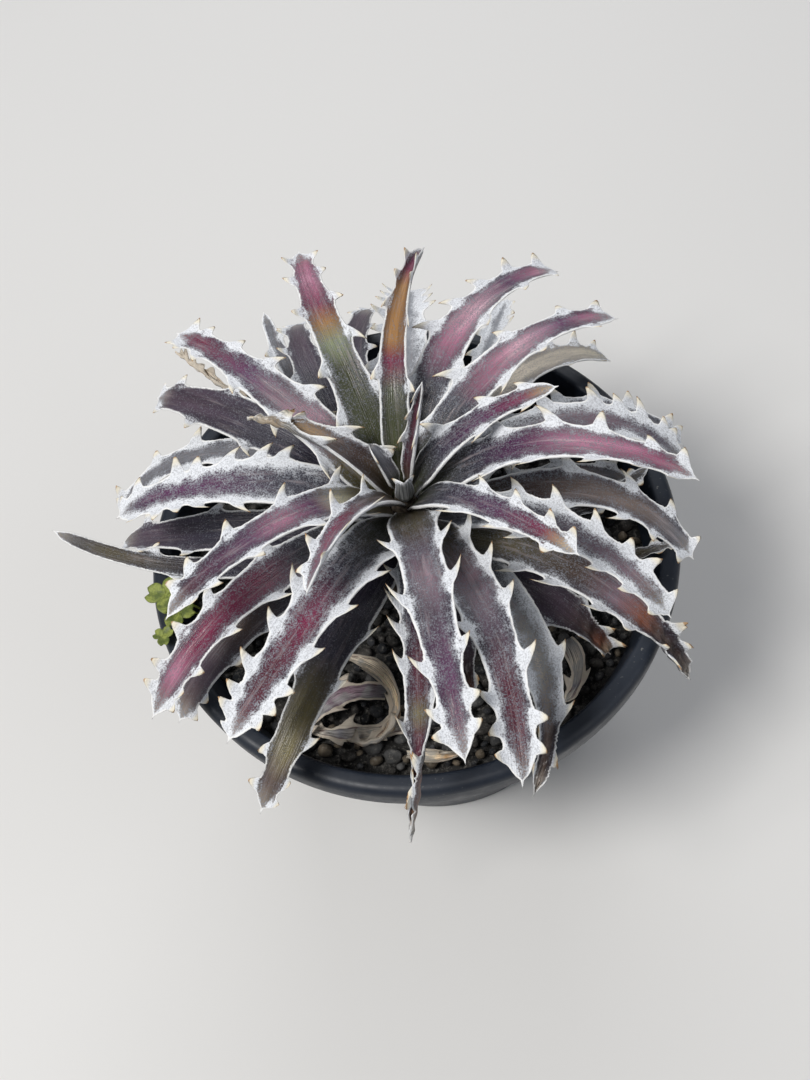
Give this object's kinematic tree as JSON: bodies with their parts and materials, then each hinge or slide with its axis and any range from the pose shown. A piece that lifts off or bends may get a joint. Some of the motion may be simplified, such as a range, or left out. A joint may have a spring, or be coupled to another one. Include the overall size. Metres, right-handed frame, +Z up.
{
  "type": "potted bromeliad",
  "caption": "Rosette of arching, channelled succulent leaves with hooked marginal spines, growing from a gravel-topped round black nursery pot.",
  "frame": {"origin": "centre of the pot's underside, on the surface it stands on", "axes": "+Z up along the pot's axis and the plant's stem; +X to the right and +Y away from the side that the plant is usually seen from"},
  "size_m": [0.2127, 0.2057, 0.1856],
  "materials": {
    "pot_plastic": "satin",
    "potting_mix": "matte",
    "gravel": "matte",
    "stem": "matte",
    "leaf_purple": "satin",
    "leaf_dark": "satin",
    "leaf_silver": "matte",
    "leaf_olive": "satin",
    "leaf_brown": "matte",
    "leaf_dry": "matte",
    "clover": "matte"
  },
  "bodies": {
    "root": {"pot": "pot_plastic", "potting_mix": "potting_mix", "gravel_bed": "gravel", "stem": "stem", "spear_leaf_1": "leaf_purple", "spear_leaf_2": "leaf_silver", "spear_leaf_3": "leaf_silver", "young_leaf_1": "leaf_purple", "young_leaf_2": "leaf_purple", "young_leaf_3": "leaf_silver", "young_leaf_4": "leaf_purple", "upper_leaf_1": "leaf_purple", "upper_leaf_2": "leaf_purple", "upper_leaf_3": "leaf_purple", "upper_leaf_4": "leaf_purple", "upper_leaf_5": "leaf_purple", "upper_leaf_6": "leaf_purple", "upper_leaf_7": "leaf_purple", "upper_leaf_8": "leaf_purple", "upper_leaf_9": "leaf_purple", "upper_leaf_10": "leaf_purple", "middle_leaf_1": "leaf_silver", "middle_leaf_2": "leaf_silver", "middle_leaf_3": "leaf_purple", "middle_leaf_4": "leaf_brown", "middle_leaf_5": "leaf_silver", "middle_leaf_6": "leaf_dark", "middle_leaf_7": "leaf_silver", "middle_leaf_8": "leaf_olive", "middle_leaf_9": "leaf_olive", "middle_leaf_10": "leaf_silver", "middle_leaf_11": "leaf_silver", "lower_leaf_1": "leaf_brown", "lower_leaf_2": "leaf_dark", "lower_leaf_3": "leaf_brown", "lower_leaf_4": "leaf_dark", "lower_leaf_5": "leaf_dark", "lower_leaf_6": "leaf_dark", "lower_leaf_7": "leaf_silver", "lower_leaf_8": "leaf_silver", "lower_leaf_9": "leaf_dark", "old_leaf_1": "leaf_silver", "old_leaf_2": "leaf_silver", "old_leaf_3": "leaf_brown", "old_leaf_4": "leaf_silver", "dry_leaf_1": "leaf_dry", "dry_leaf_2": "leaf_dry", "dry_leaf_3": "leaf_dry", "dry_leaf_4": "leaf_dry", "dry_leaf_5": "leaf_dry", "dry_leaf_6": "leaf_dry", "dry_leaf_7": "leaf_dry", "dry_leaf_8": "leaf_dry", "dry_leaf_9": "leaf_dry", "clover_sprig": "clover"}
  },
  "joints": []
}
